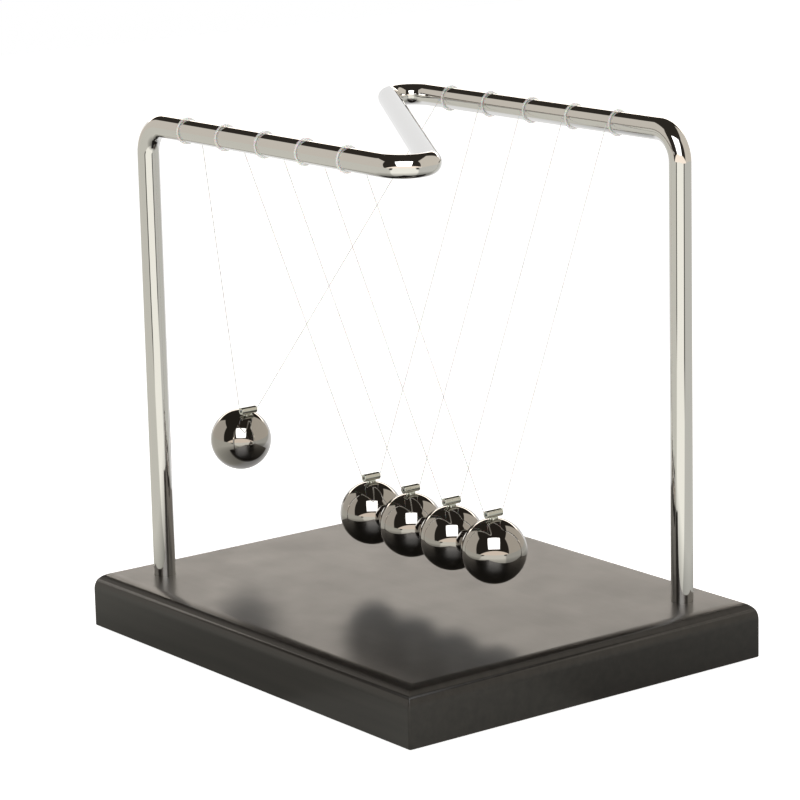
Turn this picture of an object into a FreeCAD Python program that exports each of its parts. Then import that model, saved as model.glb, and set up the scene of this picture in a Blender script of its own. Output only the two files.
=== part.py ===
import FreeCAD, Part
import math
import os
import sys

import Sketcher
from FreeCAD import Placement, Rotation, Vector

# Newton's cradle: a wood block, a chromed rod bent into a Z in plan, and five steel balls hung in a row.
#
# Frame: millimetres, +Z up. The origin is the middle of the felt's underside. X runs along
# the row of balls and along both rails, and Y runs from the front rail to the rear rail. The first ball is
# drawn back towards -X and the other four hang plumb.

BALLS = 5

# Driving sizes, in mm unless the note says otherwise
SIZES = {
    "base_thick": (19.0, "wood block, top to bottom"),
    "base_top_round": (6.0, "radius of the block's top edge"),
    "base_side_round": (1.0, "radius of the block's four upright edges"),
    "base_bottom_round": (0.5, "radius of the block's bottom edge"),
    "felt_thick": (1.0, "felt sheet under the block"),
    "felt_inset": (2.5, "from the block's side to the felt's edge"),
    "felt_round": (3.0, "radius of the felt's corners"),
    "rod_dia": (7.5, "chromed rod"),
    "post_height": (157.25, "block's top to the rails' axis"),
    "post_floor": (3.0, "wood between the end of each post's blind hole and the recess below it"),
    "post_fit": (0.1, "diametral clearance of a post in its hole"),
    "post_edge_x": (18.5, "post's axis to the block's end"),
    "post_edge_y": (18.0, "post's axis to the block's side"),
    "bend_radius": (10.0, "rod's axis, post to rail"),
    "rail_span": (111.0, "front rail's axis to rear rail's axis"),
    "rail_lead": (27.4, "outer ball's plane to the post's axis, with the row in the middle"),
    "turn_radius": (8.0, "rod's axis, rail to diagonal"),
    "turn_inset": (12.0, "post's axis to the middle of the opposite rail's tight turn, along X"),
    "row_shift": (-3.0, "row of balls, from the block's middle along X"),
    "ball_dia": (22.0, "steel ball"),
    "ball_gap": (0.3, "between two balls that hang plumb"),
    "ball_clearance": (10.25, "ball's lowest point to the block's top"),
    "drawn_back": (24.5, "first ball's angle from plumb, in degrees"),
    "ring_wire": (0.7, "clear ring's section"),
    "ring_fit": (0.05, "radial clearance of a ring round the rail"),
    "line_dia": (0.3, "nylon line"),
    "line_bend": (0.8, "radius of the line's bend at each end of its hanger"),
    "line_play": (0.02, "between a line and the top of its hanger's bore"),
    "knot_dia": (0.9, "wound knot at each end of a line"),
    "knot_length": (1.0, "knot, along its axis"),
    "knot_gap": (0.1, "between a knot and its ring"),
    "hanger_dia": (2.6, "small barrel across the ball's top"),
    "hanger_length": (6.5, "barrel, along Y"),
    "hanger_bore": (1.0, "barrel's bore, for the line"),
    "hanger_rise": (1.7, "ball's top to the barrel's axis"),
    "web_length": (4.0, "web under the barrel, along Y"),
    "web_thick": (1.4, "web under the barrel, along X"),
    "web_sink": (1.0, "web's depth below the ball's top, before its foot is hollowed"),
    "peg_dia": (2.0, "hanger's peg in the ball"),
    "peg_length": (4.0, "peg's depth below the ball's top"),
    "peg_fit": (0.04, "diametral clearance of the peg in its hole"),
    "peg_end_gap": (0.5, "below the peg's end in its hole"),
    "screw_dia": (4.0, "screw from underneath into each post's end"),
    "screw_fit": (0.04, "diametral clearance of the screw in the rod's tapped hole"),
    "screw_reach": (9.0, "screw's length inside the rod"),
    "screw_end_gap": (2.0, "above the screw's end in its hole"),
    "screw_clearance": (0.5, "diametral clearance of the screw in the block"),
    "head_dia": (7.6, "screw head"),
    "head_height": (2.6, "screw head"),
    "slot_width": (0.9, "cross slot in the screw head"),
    "slot_length": (4.4, "cross slot, end to end"),
    "slot_depth": (1.5, "cross slot"),
    "washer_dia": (9.0, "washer under the screw head"),
    "washer_thick": (0.8, "washer"),
    "washer_fit": (0.3, "diametral clearance of the screw in its washer"),
    "recess_fit": (1.0, "diametral clearance of the washer in its recess"),
    "recess_depth": (5.0, "recess in the block's underside"),
}

# Worked out from the driving sizes, in the order that they depend on each other
PLACES = {
    "pitch": "sizes.ball_dia + sizes.ball_gap",
    "post_x": f"{(BALLS - 1) / 2} * pitch + sizes.rail_lead",
    "rail_y": "sizes.rail_span / 2",
    "base_x": "post_x + sizes.post_edge_x",
    "base_y": "rail_y + sizes.post_edge_y",
    "base_top": "sizes.felt_thick + sizes.base_thick",
    "rail_z": "base_top + sizes.post_height",
    "recess_top": "sizes.felt_thick + sizes.recess_depth",
    "rod_foot": "recess_top + sizes.post_floor",
    "post_seat": "base_top - rod_foot",
    "bend_x": "post_x - sizes.bend_radius",
    "bend_z": "rail_z - sizes.bend_radius",
    "turn_x": "post_x - sizes.turn_inset",
    "turn_y": "rail_y - sizes.turn_radius",
    "drop": "rail_z - base_top - sizes.ball_clearance - sizes.ball_dia / 2",
    "hanger_drop": "drop - sizes.ball_dia / 2 - sizes.hanger_rise",
    "line_drop": "hanger_drop - sizes.hanger_bore / 2 + sizes.line_play + sizes.line_dia / 2",
    "ring_radius": "sizes.rod_dia / 2 + sizes.ring_fit + sizes.ring_wire / 2",
    "ring_reach": "ring_radius + sizes.ring_wire / 2",
    "line_y": "rail_y - ring_reach - sizes.knot_gap - sizes.knot_length / 2",
    "felt_x": "base_x - sizes.felt_inset",
    "felt_y": "base_y - sizes.felt_inset",
    "washer_bottom": "recess_top - sizes.washer_thick",
    "screw_top": "rod_foot + sizes.screw_reach",
}

doc = FreeCAD.newDocument("newtons_cradle")


def fill_sheet(name, cells):
    """A spreadsheet with one aliased cell for each name, its note beside it."""
    sheet = doc.addObject("Spreadsheet::Sheet", name)
    for row, (alias, (content, note)) in enumerate(cells.items(), 1):
        sheet.set(f"A{row}", content)
        sheet.setAlias(f"A{row}", alias)
        sheet.set(f"B{row}", note)
    return sheet


sizes = fill_sheet("sizes", {name: (str(value), note) for name, (value, note) in SIZES.items()})
places = fill_sheet("places", {name: ("=" + rule, "") for name, rule in PLACES.items()})
doc.recompute()


def size(name):
    """A driving size or a worked-out place, as a plain number."""
    sheet = sizes if name in SIZES else places
    value = sheet.get(name)
    return float(getattr(value, "Value", value))


def cell(name):
    """The same value as an expression names it."""
    return ("sizes." if name in SIZES else "places.") + name


def ball_x(number):
    """Where ball 1, 2, ... hangs along X."""
    return size("row_shift") + (number - (BALLS + 1) / 2) * size("pitch")


# ---------------------------------------------------------------- Sketch helpers


def plane_of(body, role):
    return next(f for f in body.Origin.OriginFeatures if f.Role == role)


def new_sketch(body, name, role, offset="0", sign=1):
    """A sketch on one of its body's own planes, moved along the plane's normal by an expression."""
    sketch = body.newObject("Sketcher::SketchObject", name)
    sketch.AttachmentSupport = [(plane_of(body, role), "")]
    sketch.MapMode = "FlatFace"
    sketch.setExpression("AttachmentOffset.Base.z", f"{sign} * ({offset})")
    return sketch


def bind(sketch, kind, where, value, rule):
    """A dimension of a sketch, set to a value now and tied to an expression."""
    index = sketch.addConstraint(Sketcher.Constraint(kind, *where, value))
    sketch.setExpression(f"Constraints[{index}]", rule)


def pin_point(sketch, geometry, point, x, x_rule, y, y_rule):
    """Holds a point at x, y. The rules give the distances from the axes, without their signs."""
    for kind, value, rule in (("DistanceX", x, x_rule), ("DistanceY", y, y_rule)):
        if value < 0:
            bind(sketch, kind, (geometry, point, -1, 1), -value, rule)
        elif value > 0:
            bind(sketch, kind, (-1, 1, geometry, point), value, rule)
        else:
            across = -2 if kind == "DistanceX" else -1
            sketch.addConstraint(Sketcher.Constraint("PointOnObject", geometry, point, across))


def add_circle(sketch, x, x_rule, y, y_rule, diameter, diameter_rule):
    circle = sketch.addGeometry(Part.Circle(Vector(x, y, 0), Vector(0, 0, 1), diameter / 2))
    pin_point(sketch, circle, 3, x, x_rule, y, y_rule)
    bind(sketch, "Diameter", (circle,), diameter, diameter_rule)


def add_line(sketch, start, end):
    return sketch.addGeometry(Part.LineSegment(Vector(*start, 0), Vector(*end, 0)))


def add_arc(sketch, centre, radius, first_angle, last_angle):
    """An arc that turns anticlockwise from the first angle to the last, in radians."""
    circle = Part.Circle(Vector(*centre, 0), Vector(0, 0, 1), radius)
    return sketch.addGeometry(Part.ArcOfCircle(circle, first_angle, last_angle))


def smooth(sketch, first, first_end, second, second_end):
    """Joins the ends of two pieces so that one runs on into the other."""
    sketch.addConstraint(Sketcher.Constraint("Tangent", first, first_end, second, second_end))


def add_rectangle(sketch, x, x_rule, y, y_rule):
    """A rectangle about the middle, given its half-sides."""
    corners = [(-x, -y), (x, -y), (x, y), (-x, y)]
    sides = [add_line(sketch, corners[i], corners[(i + 1) % 4]) for i in range(4)]
    for i, side in enumerate(sides):
        sketch.addConstraint(Sketcher.Constraint("Coincident", side, 2, sides[(i + 1) % 4], 1))
        sketch.addConstraint(Sketcher.Constraint("Vertical" if i % 2 else "Horizontal", side))
    pin_point(sketch, sides[0], 1, -x, x_rule, -y, y_rule)
    pin_point(sketch, sides[2], 1, x, x_rule, y, y_rule)


def new_body(name):
    body = doc.addObject("PartDesign::Body", name)
    body.Label = name
    return body


def new_pad(body, sketch, length):
    pad = body.newObject("PartDesign::Pad", sketch.Name + "_pad")
    pad.Profile = sketch
    pad.setExpression("Length", length)
    return pad


def new_pocket(body, sketch, length, upward):
    """A pocket of the given depth, upwards or downwards from its sketch, that must take something away."""
    doc.recompute()
    before = body.Shape.Volume
    pocket = body.newObject("PartDesign::Pocket", sketch.Name + "_pocket")
    pocket.Profile = sketch
    pocket.Reversed = upward
    pocket.setExpression("Length", length)
    doc.recompute()
    if body.Shape.Volume >= before:
        sys.exit(f"{pocket.Name} cuts nothing")
    return pocket


def new_pipe(body, profile, path):
    pipe = body.newObject("PartDesign::AdditivePipe", path.Name + "_pipe")
    pipe.Profile = profile
    pipe.Spine = (path, [f"Edge{i + 1}" for i in range(path.GeometryCount)])
    return pipe


def new_fillet(body, feature, chosen, radius):
    """Rounds those edges of a feature that the test picks."""
    doc.recompute()
    names = [f"Edge{i + 1}" for i, edge in enumerate(feature.Shape.Edges) if chosen(edge)]
    fillet = body.newObject("PartDesign::Fillet", feature.Name + "_round")
    fillet.Base = (feature, names)
    fillet.setExpression("Radius", radius)
    return fillet


def upright(edge):
    box = edge.BoundBox
    return box.ZLength > 0.01 and box.XLength < 0.01 and box.YLength < 0.01


def level_at(height):
    return lambda edge: abs(edge.BoundBox.ZMin - height) < 0.01 and edge.BoundBox.ZLength < 0.01


# ---------------------------------------------------------------- Primitive helpers


def place(thing, base=(0, 0, 0), axis=(0, 0, 1), angle=0.0):
    thing.Placement = Placement(Vector(*base), Rotation(Vector(*axis), angle))
    return thing


def new_cylinder(name, diameter, height):
    cylinder = doc.addObject("Part::Cylinder", name)
    cylinder.setExpression("Radius", f"({diameter}) / 2")
    cylinder.setExpression("Height", height)
    return cylinder


def new_sphere(name, diameter):
    sphere = doc.addObject("Part::Sphere", name)
    sphere.setExpression("Radius", f"({diameter}) / 2")
    return sphere


def new_box(name, length, width, height):
    box = doc.addObject("Part::Box", name)
    box.setExpression("Length", length)
    box.setExpression("Width", width)
    box.setExpression("Height", height)
    return box


def boolean(kind, name, base, tool):
    result = doc.addObject(kind, name)
    result.Base = base
    result.Tool = tool
    return result


def cut(name, base, tool):
    return boolean("Part::Cut", name, base, tool)


def fuse(name, base, tool):
    return boolean("Part::Fuse", name, base, tool)


def group(name, members):
    compound = doc.addObject("Part::Compound", name)
    compound.Links = members
    return compound


POST_SIGNS = (-1, 1)  # the front post stands at -X, -Y and the rear post at +X, +Y


# ---------------------------------------------------------------- Block and felt


def make_base_block():
    """The wood block, with a blind hole for each post and a recess under it for the screw and its washer."""
    body = new_body("base_block")
    outline = new_sketch(body, "block_outline", "XY_Plane", cell("felt_thick"))
    add_rectangle(outline, size("base_x"), cell("base_x"), size("base_y"), cell("base_y"))
    block = new_pad(body, outline, cell("base_thick"))
    block = new_fillet(body, block, upright, cell("base_side_round"))
    block = new_fillet(body, block, level_at(size("base_top")), cell("base_top_round"))
    new_fillet(body, block, level_at(size("felt_thick")), cell("base_bottom_round"))

    holes = (
        ("post_holes", "base_top", f"{cell('rod_dia')} + {cell('post_fit')}",
         size("rod_dia") + size("post_fit"), cell("post_seat"), False),
        ("screw_holes", "felt_thick", f"{cell('screw_dia')} + {cell('screw_clearance')}",
         size("screw_dia") + size("screw_clearance"), cell("base_thick"), True),
        ("screw_recesses", "felt_thick", f"{cell('washer_dia')} + {cell('recess_fit')}",
         size("washer_dia") + size("recess_fit"), cell("recess_depth"), True),
    )
    for name, level, rule, diameter, depth, upward in holes:
        sketch = new_sketch(body, name, "XY_Plane", cell(level))
        for sign in POST_SIGNS:
            add_circle(sketch, sign * size("post_x"), cell("post_x"),
                       sign * size("rail_y"), cell("rail_y"), diameter, rule)
        new_pocket(body, sketch, depth, upward)
    return body


def make_base_felt():
    """The felt sheet that the block stands on, which covers the screws."""
    body = new_body("base_felt")
    outline = new_sketch(body, "felt_outline", "XY_Plane")
    add_rectangle(outline, size("felt_x"), cell("felt_x"), size("felt_y"), cell("felt_y"))
    new_fillet(body, new_pad(body, outline, cell("felt_thick")), upright, cell("felt_round"))
    return body


# ---------------------------------------------------------------- Rod


def post_path(body, sign):
    """A post and the bend at its top: up from its foot, then a quarter turn in towards the middle."""
    path = new_sketch(body, f"post_path_{'front' if sign < 0 else 'rear'}", "XZ_Plane", cell("rail_y"), -sign)
    x, foot, radius = sign * size("post_x"), size("rod_foot"), size("bend_radius")
    centre = (sign * size("bend_x"), size("bend_z"))
    post = add_line(path, (x, foot), (x, centre[1]))
    if sign < 0:
        bend = add_arc(path, centre, radius, math.pi / 2, math.pi)
        bend_foot, bend_end = 2, 1
    else:
        bend = add_arc(path, centre, radius, 0, math.pi / 2)
        bend_foot, bend_end = 1, 2
    pin_point(path, post, 1, x, cell("post_x"), foot, cell("rod_foot"))
    path.addConstraint(Sketcher.Constraint("Vertical", post))
    smooth(path, post, 2, bend, bend_foot)
    bind(path, "Radius", (bend,), radius, cell("bend_radius"))
    pin_point(path, bend, bend_end, centre[0], cell("bend_x"), size("rail_z"), cell("rail_z"))
    return path


def rail_path(body):
    """Both rails and the diagonal between them, seen from above: a Z with two tight round turns.

    The diagonal runs through the middle and touches both turns, so its angle follows from their places.
    """
    path = new_sketch(body, "rail_path", "XY_Plane", cell("rail_z"))
    x, y, radius = size("turn_x"), size("turn_y"), size("turn_radius")
    reach = math.hypot(x, y)
    slope = math.atan2(y, x) - math.asin(radius / reach)
    touch = math.sqrt(reach**2 - radius**2)
    touch = (touch * math.cos(slope), -touch * math.sin(slope))
    last = math.pi / 2 - slope
    front = add_line(path, (-size("bend_x"), -size("rail_y")), (x, -size("rail_y")))
    front_turn = add_arc(path, (x, -y), radius, -math.pi / 2, last)
    diagonal = add_line(path, touch, (-touch[0], -touch[1]))
    rear_turn = add_arc(path, (-x, y), radius, math.pi / 2, last + math.pi)
    rear = add_line(path, (-x, size("rail_y")), (size("bend_x"), size("rail_y")))
    pin_point(path, front, 1, -size("bend_x"), cell("bend_x"), -size("rail_y"), cell("rail_y"))
    pin_point(path, rear, 2, size("bend_x"), cell("bend_x"), size("rail_y"), cell("rail_y"))
    for rail in (front, rear):
        path.addConstraint(Sketcher.Constraint("Horizontal", rail))
    smooth(path, front, 2, front_turn, 1)
    smooth(path, front_turn, 2, diagonal, 1)
    smooth(path, diagonal, 2, rear_turn, 2)
    smooth(path, rear_turn, 1, rear, 1)
    for turn in (front_turn, rear_turn):
        bind(path, "Radius", (turn,), radius, cell("turn_radius"))
    bind(path, "DistanceX", (-1, 1, front_turn, 3), x, cell("turn_x"))
    bind(path, "DistanceX", (rear_turn, 3, -1, 1), x, cell("turn_x"))
    return path


def make_frame_rod():
    """One rod: post, rail, tight turn, diagonal, tight turn, rail, post, with a tapped hole in each end."""
    body = new_body("frame_rod")
    rod = (size("rod_dia"), cell("rod_dia"))
    for sign in POST_SIGNS:
        name = "front" if sign < 0 else "rear"
        section = new_sketch(body, f"post_section_{name}", "XY_Plane", cell("rod_foot"))
        add_circle(section, sign * size("post_x"), cell("post_x"),
                   sign * size("rail_y"), cell("rail_y"), *rod)
        new_pipe(body, section, post_path(body, sign))
        if sign < 0:
            section = new_sketch(body, "rail_section", "YZ_Plane", cell("bend_x"), -1)
            add_circle(section, -size("rail_y"), cell("rail_y"), size("rail_z"), cell("rail_z"), *rod)
            new_pipe(body, section, rail_path(body))
    taps = new_sketch(body, "tapped_holes", "XY_Plane", cell("rod_foot"))
    for sign in POST_SIGNS:
        add_circle(taps, sign * size("post_x"), cell("post_x"), sign * size("rail_y"), cell("rail_y"),
                   size("screw_dia") + size("screw_fit"), f"{cell('screw_dia')} + {cell('screw_fit')}")
    new_pocket(body, taps, f"{cell('screw_reach')} + {cell('screw_end_gap')}", True)
    return body


def make_fasteners():
    """The screw and the washer under each post."""
    screws, washers = [], []
    for sign in POST_SIGNS:
        x, y, tag = sign * size("post_x"), sign * size("rail_y"), "front" if sign < 0 else "rear"
        head_bottom = size("washer_bottom") - size("head_height")
        head = new_cylinder(f"head_{tag}", cell("head_dia"), cell("head_height"))
        place(head, (x, y, head_bottom))
        slot = None
        for angle in (0, 90):
            arm = new_box(f"slot_{tag}_{angle}", cell("slot_length"), cell("slot_width"), cell("slot_depth"))
            turn = Rotation(Vector(0, 0, 1), angle)
            corner = turn.multVec(Vector(-size("slot_length") / 2, -size("slot_width") / 2, 0))
            place(arm, (x + corner.x, y + corner.y, head_bottom), (0, 0, 1), angle)
            slot = fuse(f"cross_{tag}", slot, arm) if slot else arm
        shank_length = f"{cell('screw_top')} - {cell('washer_bottom')}"
        shank = new_cylinder(f"shank_{tag}", cell("screw_dia"), shank_length)
        place(shank, (x, y, size("washer_bottom")))
        screws.append(fuse(f"screw_{tag}", cut(f"slotted_head_{tag}", head, slot), shank))
        disc = new_cylinder(f"disc_{tag}", cell("washer_dia"), cell("washer_thick"))
        eye = new_cylinder(f"eye_{tag}", f"{cell('screw_dia')} + {cell('washer_fit')}", cell("washer_thick"))
        for part in (disc, eye):
            place(part, (x, y, size("washer_bottom")))
        washers.append(cut(f"washer_{tag}", disc, eye))
    return [group("frame_screws", screws), group("frame_washers", washers)]


def make_rings():
    """A clear ring round each rail at each ball's plane."""
    rings = []
    for side, sign in (("front", -1), ("rear", 1)):
        for number in range(1, BALLS + 1):
            ring = doc.addObject("Part::Torus", f"clear_ring_{side}_{number}")
            ring.setExpression("Radius1", cell("ring_radius"))
            ring.setExpression("Radius2", f"{cell('ring_wire')} / 2")
            rings.append(place(ring, (ball_x(number), sign * size("rail_y"), size("rail_z")), (0, 1, 0), 90))
    return rings


# ---------------------------------------------------------------- Pendulums
#
# Each pendulum is built about its swing axis, the Y direction through both of its knots, and is then
# carried up to the rails and turned about that axis.


def hang(thing, number):
    """Carries a finished piece to its place on the rails, turned by its ball's angle from plumb."""
    angle = size("drawn_back") if number == 1 else 0
    return place(thing, (ball_x(number), 0, size("rail_z")), (0, 1, 0), angle)


def make_ball(number):
    """A steel ball with a blind hole in its top for the hanger's peg."""
    sphere = place(new_sphere(f"sphere_{number}", cell("ball_dia")), (0, 0, -size("drop")))
    depth = f"{cell('peg_length')} + {cell('peg_end_gap')}"
    hole = new_cylinder(f"peg_hole_{number}", f"{cell('peg_dia')} + {cell('peg_fit')}", depth)
    top = -size("drop") + size("ball_dia") / 2
    place(hole, (0, 0, top - size("peg_length") - size("peg_end_gap")))
    return hang(cut(f"ball_{number}", sphere, hole), number)


def make_hanger(number):
    """A barrel along Y on a short web, which is hollowed to sit on the ball, with a peg below it."""
    length, middle = size("hanger_length"), -size("hanger_drop")
    ball_top = middle - size("hanger_rise")
    barrel = new_cylinder(f"barrel_{number}", cell("hanger_dia"), cell("hanger_length"))
    bore = new_cylinder(f"bore_{number}", cell("hanger_bore"), cell("hanger_length"))
    for part in (barrel, bore):
        place(part, (0, length / 2, middle), (1, 0, 0), 90)
    web_height = f"{cell('hanger_rise')} + {cell('web_sink')}"
    web = new_box(f"web_{number}", cell("web_thick"), cell("web_length"), web_height)
    place(web, (-size("web_thick") / 2, -size("web_length") / 2, ball_top - size("web_sink")))
    seat = place(new_sphere(f"seat_{number}", cell("ball_dia")), (0, 0, -size("drop")))
    peg = new_cylinder(f"peg_{number}", cell("peg_dia"), f"{cell('peg_length')} + {cell('hanger_rise')}")
    place(peg, (0, 0, ball_top - size("peg_length")))
    solid = fuse(f"webbed_barrel_{number}", barrel, cut(f"seated_web_{number}", web, seat))
    solid = fuse(f"pegged_barrel_{number}", solid, peg)
    return hang(cut(f"hanger_{number}", solid, bore), number)


def line_route():
    """The line's route in the plane of its V: down a leg, round into the barrel, through it, round, and up.

    Each bend is an arc that touches both the barrel's axis and its leg, and the legs end at the knots.
    """
    half, bend, drop = size("hanger_length") / 2, size("line_bend"), size("line_drop")
    knot = Vector(0, size("line_y"), 0)
    centre = Vector(0, half, bend - drop)
    away = knot - centre
    leg_angle = math.atan2(away.z, away.y) - math.acos(bend / away.Length)

    def on_bend(angle):
        return centre + Vector(0, bend * math.cos(angle), bend * math.sin(angle))

    def other_side(point):
        return Vector(point.x, -point.y, point.z)

    foot, touch = on_bend(-math.pi / 2), on_bend(leg_angle)
    crown = on_bend((leg_angle - math.pi / 2) / 2)
    pieces = [Part.LineSegment(other_side(knot), other_side(touch)),
              Part.Arc(other_side(touch), other_side(crown), other_side(foot)),
              Part.LineSegment(other_side(foot), foot),
              Part.Arc(foot, crown, touch),
              Part.LineSegment(touch, knot)]
    return Part.Wire([piece.toShape() for piece in pieces])


def make_line(number):
    """One nylon line from rail to rail through the hanger, with a wound knot at each end."""
    route = line_route()
    start = route.Edges[0].Vertexes[0].Point
    way = route.Edges[0].tangentAt(route.Edges[0].FirstParameter)
    section = Part.Face(Part.Wire(Part.makeCircle(size("line_dia") / 2, start, way)))
    strand = route.makePipe(section)
    if abs(strand.Volume / (section.Area * route.Length) - 1) > 0.001:
        sys.exit(f"line {number} isn't as full as its section times its length")
    if number == 1:
        print(f"line: {route.Length:.1f} mm long, bends of {size('line_bend')} mm")
    knots = [Part.makeCylinder(size("knot_dia") / 2, size("knot_length"),
                               Vector(0, middle - size("knot_length") / 2, 0), Vector(0, 1, 0))
             for middle in (-size("line_y"), size("line_y"))]
    line = doc.addObject("Part::Feature", f"line_{number}")
    line.Shape = strand.fuse(knots)
    return hang(line, number)


# ---------------------------------------------------------------- Build, test and write


def make_all():
    nodes = [make_base_block(), make_base_felt(), make_frame_rod()]
    nodes += make_fasteners()
    nodes += make_rings()
    for number in range(1, BALLS + 1):
        nodes += [make_ball(number), make_hanger(number), make_line(number)]
    return nodes


def check(nodes):
    """Stops if an object failed to build or a node's shape is empty or not valid."""
    for thing in doc.Objects:
        if {"Invalid", "Error"} & set(thing.State):
            sys.exit(f"{thing.Name} failed: {thing.State}")
    for node in nodes:
        if node.Shape.isNull() or not node.Shape.isValid() or not node.Shape.Solids:
            sys.exit(f"{node.Label} has no sound solid")


nodes = make_all()
doc.recompute()
check(nodes)
os.makedirs("parts", exist_ok=True)
for node in nodes:
    node.Shape.exportStep(f"parts/{node.Label}.step")
    print(node.Label, len(node.Shape.Solids), round(node.Shape.Volume, 2))
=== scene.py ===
import math

import bpy
import numpy as np
from mathutils import Matrix, Vector


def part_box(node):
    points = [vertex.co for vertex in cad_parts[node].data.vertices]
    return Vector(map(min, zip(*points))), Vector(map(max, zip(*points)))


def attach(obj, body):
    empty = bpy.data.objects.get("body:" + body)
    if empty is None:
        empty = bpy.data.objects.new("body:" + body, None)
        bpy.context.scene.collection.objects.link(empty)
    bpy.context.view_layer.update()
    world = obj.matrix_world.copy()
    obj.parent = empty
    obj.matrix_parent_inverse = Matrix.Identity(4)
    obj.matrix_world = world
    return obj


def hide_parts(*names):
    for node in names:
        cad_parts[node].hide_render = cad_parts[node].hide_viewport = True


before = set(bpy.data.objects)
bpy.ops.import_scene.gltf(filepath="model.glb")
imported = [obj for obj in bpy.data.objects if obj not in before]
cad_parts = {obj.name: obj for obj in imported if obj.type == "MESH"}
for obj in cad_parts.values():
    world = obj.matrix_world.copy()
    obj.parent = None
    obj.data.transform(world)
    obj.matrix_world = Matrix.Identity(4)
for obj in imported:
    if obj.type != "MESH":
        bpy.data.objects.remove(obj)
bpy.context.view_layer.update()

# Newton's cradle, in metres, +Z up. X runs along the row of balls and Y from the front rail to the rear rail.
# Each pendulum is worked out about its swing axis, which is the Y direction through its line's two knots,
# and is then carried to its place on the rails.

MM = 0.001
BALLS = range(1, 6)
DRAWN_BACK = math.radians(24.5)
SHARP_ANGLE = math.radians(40)


# ---------------------------------------------------------------- Sizes read from the frame


def middle(node):
    """The middle of a node's box."""
    low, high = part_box(node)
    return (low + high) / 2


BLOCK_LOW, BLOCK_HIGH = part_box("base_block")
FELT_LOW, FELT_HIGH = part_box("base_felt")
ROD_LOW, ROD_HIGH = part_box("frame_rod")
BALL_RADIUS = (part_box("ball_3")[1].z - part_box("ball_3")[0].z) / 2
RAIL_Z = middle("clear_ring_front_3").z
RAIL_Y = middle("clear_ring_rear_3").y
DROP = RAIL_Z - middle("ball_3").z
HANG_X = {number: middle(f"clear_ring_front_{number}").x for number in BALLS}
ROD_RADIUS = ROD_HIGH.z - RAIL_Z
POST_X = ROD_HIGH.x - ROD_RADIUS
ROD_FOOT = ROD_LOW.z

# Sizes that a box can't give
TOP_ROUND = 6.0 * MM
SIDE_ROUND = 1.0 * MM
BOTTOM_ROUND = 0.5 * MM
POST_HOLE_RADIUS = ROD_RADIUS + 0.05 * MM
SCREW_HOLE_RADIUS = 2.25 * MM
RECESS_RADIUS = 5.0 * MM
RECESS_DEPTH = 5.0 * MM
FELT_ROUND = 3.0 * MM
BEND_RADIUS = 10.0 * MM
TURN_RADIUS = 8.0 * MM
TURN_INSET = 12.0 * MM
RING_WIRE_RADIUS = 0.35 * MM
RING_RADIUS = ROD_RADIUS + 0.05 * MM + RING_WIRE_RADIUS
LINE_RADIUS = 0.15 * MM
KNOT_Y = RAIL_Y - RING_RADIUS - RING_WIRE_RADIUS - 0.6 * MM
BARREL_RADIUS = 1.3 * MM
BORE_RADIUS = 0.5 * MM
BARREL_LENGTH = 6.5 * MM
BARREL_RISE = 1.7 * MM
BARREL_Z = -DROP + BALL_RADIUS + BARREL_RISE
LINE_Z = BARREL_Z + 0.33 * MM
PEG_RADIUS = 1.0 * MM
PEG_HOLE_RADIUS = 1.02 * MM
PEG_LENGTH = 4.0 * MM
PEG_HOLE_DEPTH = 4.5 * MM


# ---------------------------------------------------------------- Camera


def make_camera():
    """A long lens from the front right, a little above the rails' middle and turned slightly on its axis.

    Gives two level directions: to the camera's right, and from the object towards the camera.
    """
    distance, aside, height = 1.11405, -4.95 * MM, 88.76 * MM
    azimuth, elevation, roll = math.radians(52.975), math.radians(12.552), math.radians(-1.351)
    toward = Vector((math.sin(azimuth) * math.cos(elevation), -math.cos(azimuth) * math.cos(elevation),
                     math.sin(elevation)))
    level = Vector((math.cos(azimuth), math.sin(azimuth), 0))
    upright = toward.cross(level)
    right = level * math.cos(roll) + upright * math.sin(roll)
    up = upright * math.cos(roll) - level * math.sin(roll)
    target = level * aside + Vector((0, 0, height))
    camera = bpy.data.objects.new("camera", bpy.data.cameras.new("camera"))
    bpy.context.collection.objects.link(camera)
    turn = Matrix((right, up, toward)).transposed().to_4x4()
    camera.matrix_world = Matrix.Translation(target + toward * distance) @ turn
    camera.data.lens = 149.35
    camera.data.sensor_width = 36
    camera.data.shift_x = 0.0012
    camera.data.shift_y = -0.0127
    camera.data.clip_start = 0.05
    bpy.context.scene.camera = camera
    return level, Vector((toward.x, toward.y, 0)).normalized()


CAMERA_RIGHT, CAMERA_SIDE = make_camera()


# ---------------------------------------------------------------- Node helpers


def linear(colour):
    """An sRGB hex colour as linear red, green, blue and alpha."""
    parts = [int(colour[i:i + 2], 16) / 255 for i in (1, 3, 5)]
    return (*[p / 12.92 if p <= 0.04045 else ((p + 0.055) / 1.055) ** 2.4 for p in parts], 1.0)


def add_node(tree, kind, inputs=None, **settings):
    """Adds a node. Each of its inputs is given a plain value or the output that it is linked from."""
    node = tree.nodes.new(kind)
    for name, value in settings.items():
        setattr(node, name, value)
    for key, value in (inputs or {}).items():
        if isinstance(value, bpy.types.NodeSocket):
            tree.links.new(value, node.inputs[key])
        else:
            node.inputs[key].default_value = value
    return node


def new_material(name):
    """An empty material and its node tree."""
    material = bpy.data.materials.new(name)
    material.use_nodes = True
    material.node_tree.nodes.clear()
    return material, material.node_tree


# ---------------------------------------------------------------- Materials


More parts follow.
